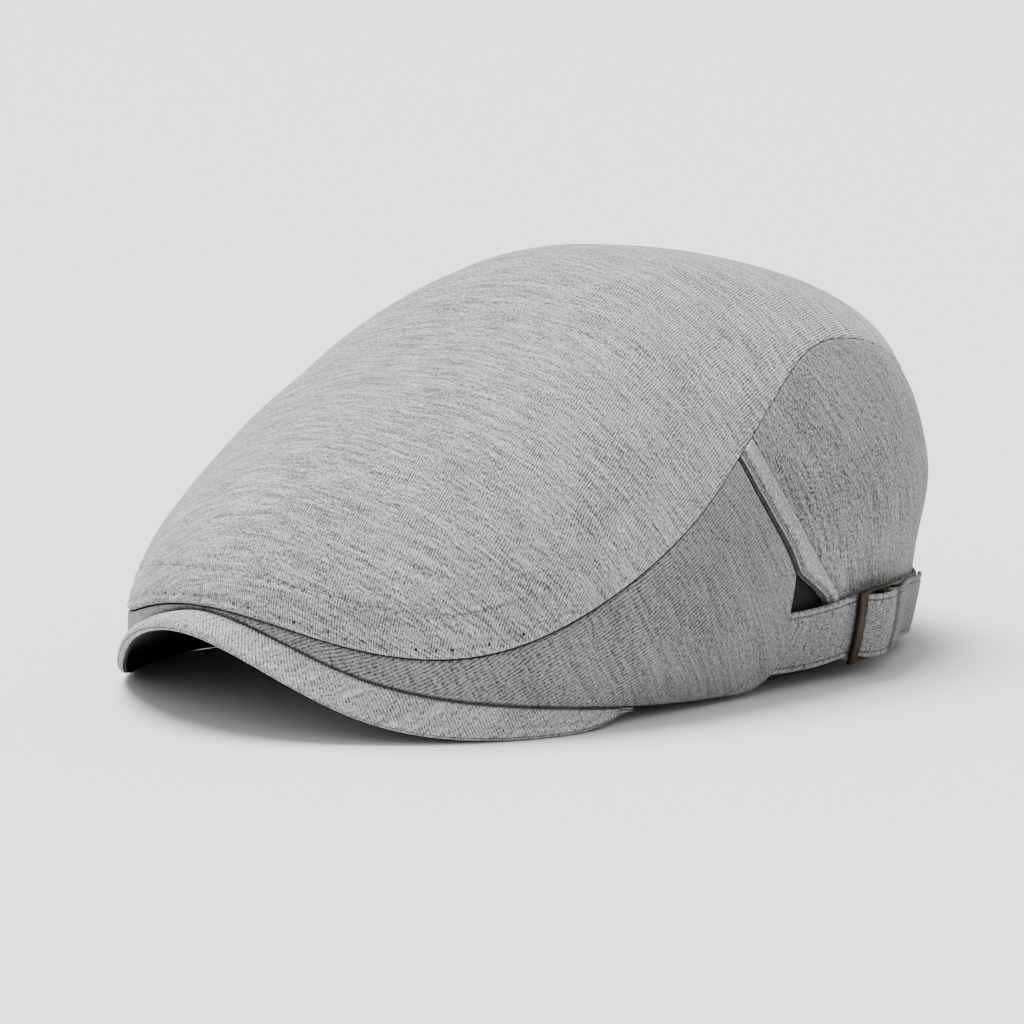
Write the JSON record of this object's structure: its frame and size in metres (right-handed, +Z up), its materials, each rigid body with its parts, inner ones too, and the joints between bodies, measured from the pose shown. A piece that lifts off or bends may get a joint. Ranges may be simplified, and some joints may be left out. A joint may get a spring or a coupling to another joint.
{
  "type": "flat cap",
  "caption": "Flat cap with a long top panel sewn over side and back panels, a short arched brim, a lining, and a strap with a metal slide across a slit at the wearer's left.",
  "frame": {"origin": "under the middle of the cap's bounding box, on the surface that the cap stands on", "axes": "+Z up, -Y to the front of the cap, +X to the wearer's left"},
  "size_m": [0.189, 0.266, 0.1193],
  "materials": {
    "panels": "matt heathered twill",
    "brim": "matt heathered twill",
    "lining": "matt plain weave",
    "straps": "matt heathered jersey",
    "slide": "dark antique"
  },
  "bodies": {
    "root": {"top_panel": "panels", "side_panel_left": "panels", "side_panel_right": "panels", "back_panel": "panels", "slit_binding": "panels", "brim": "brim", "lining": "lining", "side_strap": "straps", "back_strap": "straps", "slide": "slide"}
  },
  "joints": []
}
